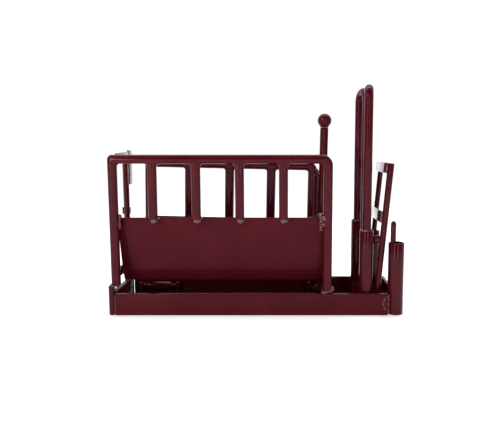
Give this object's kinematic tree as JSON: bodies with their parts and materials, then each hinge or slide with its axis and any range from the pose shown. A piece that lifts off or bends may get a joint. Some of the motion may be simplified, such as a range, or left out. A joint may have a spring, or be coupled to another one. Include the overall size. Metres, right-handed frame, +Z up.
{
  "type": "cattle squeeze chute",
  "caption": "Scale-model cattle squeeze chute in coated steel bar: fixed and hinged squeeze sides, twin head doors, drop-in front gate, rear gate and pin socket.",
  "frame": {"origin": "centre of the bounding box's bottom face, on the ground", "axes": "+X along the alley from the rear gate to the head doors, +Y from the fixed side to the squeeze side, +Z up"},
  "size_m": [0.2626, 0.0676, 0.2032],
  "materials": {
    "coated_bar": "glossy deep burgundy powder coat on round bar",
    "coated_plate": "glossy deep burgundy powder coat on sheet and base rails",
    "coated_flat": "glossy deep burgundy powder coat on thin gate flats",
    "coated_tube": "glossy deep burgundy powder coat on turned tube"
  },
  "bodies": {
    "root": {"near_base_rail": "coated_plate", "far_base_rail": "coated_plate", "rear_end_rail": "coated_plate", "front_end_rail": "coated_plate", "rear_corner_post_near": "coated_bar", "rear_corner_post_far": "coated_bar", "floor_plate": "coated_plate", "near_frame_hoop": "coated_bar", "near_bar_1": "coated_bar", "near_bar_2": "coated_bar", "near_bar_3": "coated_bar", "near_bar_4": "coated_bar", "near_side_panel": "coated_plate", "door_hinge_pin_near": "coated_bar", "door_hinge_pin_far": "coated_bar", "near_socket_tube": "coated_tube", "far_socket_tube": "coated_tube", "gate_foot_cup": "coated_tube", "rear_hinge_post": "coated_bar", "squeeze_hinge_lug_1": "coated_plate", "squeeze_hinge_lug_2": "coated_plate", "squeeze_hinge_lug_3": "coated_plate", "squeeze_hinge_lug_4": "coated_plate", "squeeze_hinge_rod_rear": "coated_bar", "squeeze_hinge_rod_front": "coated_bar"},
    "near_door": {"near_door_sleeve": "coated_tube", "near_door_loop": "coated_bar"},
    "far_door": {"far_door_sleeve": "coated_tube", "far_door_loop": "coated_bar"},
    "drop_pin": {"drop_pin": "coated_bar"},
    "front_gate": {"front_gate_near_rod": "coated_bar", "front_gate_far_rod": "coated_bar", "front_gate_top_flat": "coated_flat", "front_gate_mid_flat": "coated_flat", "front_gate_stop": "coated_bar"},
    "rear_gate": {"rear_gate_near_rod": "coated_bar", "rear_gate_far_rod": "coated_bar", "rear_gate_top_flat": "coated_flat", "rear_gate_hinge_plate": "coated_flat", "rear_gate_mid_flat": "coated_flat", "rear_gate_low_flat": "coated_flat", "rear_gate_hinge_ring_low": "coated_tube", "rear_gate_hinge_ring_high": "coated_tube"},
    "squeeze_side": {"squeeze_frame_hoop": "coated_bar", "squeeze_bar_1": "coated_bar", "squeeze_bar_2": "coated_bar", "squeeze_bar_3": "coated_bar", "squeeze_side_panel": "coated_plate", "squeeze_barrel_rear": "coated_tube", "squeeze_barrel_front": "coated_tube", "squeeze_handle_rod": "coated_bar", "squeeze_handle_ball": "coated_bar", "handle_stub_upper": "coated_bar", "handle_stub_lower": "coated_bar"}
  },
  "joints": [
    {"name": "near_door_hinge", "type": "hinge", "parent": "root", "child": "near_door", "pos_m": [0.098, -0.0244, 0], "axis": [0, 0, 1], "range_deg": [-11, 98]},
    {"name": "far_door_hinge", "type": "hinge", "parent": "root", "child": "far_door", "pos_m": [0.0964, 0.0244, 0], "axis": [0, 0, 1], "range_deg": [-103, 6]},
    {"name": "front_gate_slide", "type": "slide", "parent": "root", "child": "front_gate", "axis": [0.0891, 0.0016, 0.996], "range_m": [0, 0.023]},
    {"name": "drop_pin_slide", "type": "slide", "parent": "root", "child": "drop_pin", "axis": [0, 0, 1], "range_m": [0, 0.066]},
    {"name": "rear_gate_hinge", "type": "hinge", "parent": "root", "child": "rear_gate", "pos_m": [-0.127, 0.0177, 0.08], "axis": [0, 0, 1], "range_deg": [-95, 0]},
    {"name": "squeeze_hinge", "type": "hinge", "parent": "root", "child": "squeeze_side", "pos_m": [-0.026, 0.0262, 0.0102], "axis": [0.9997, 0, -0.0227], "range_deg": [0, 14]}
  ]
}
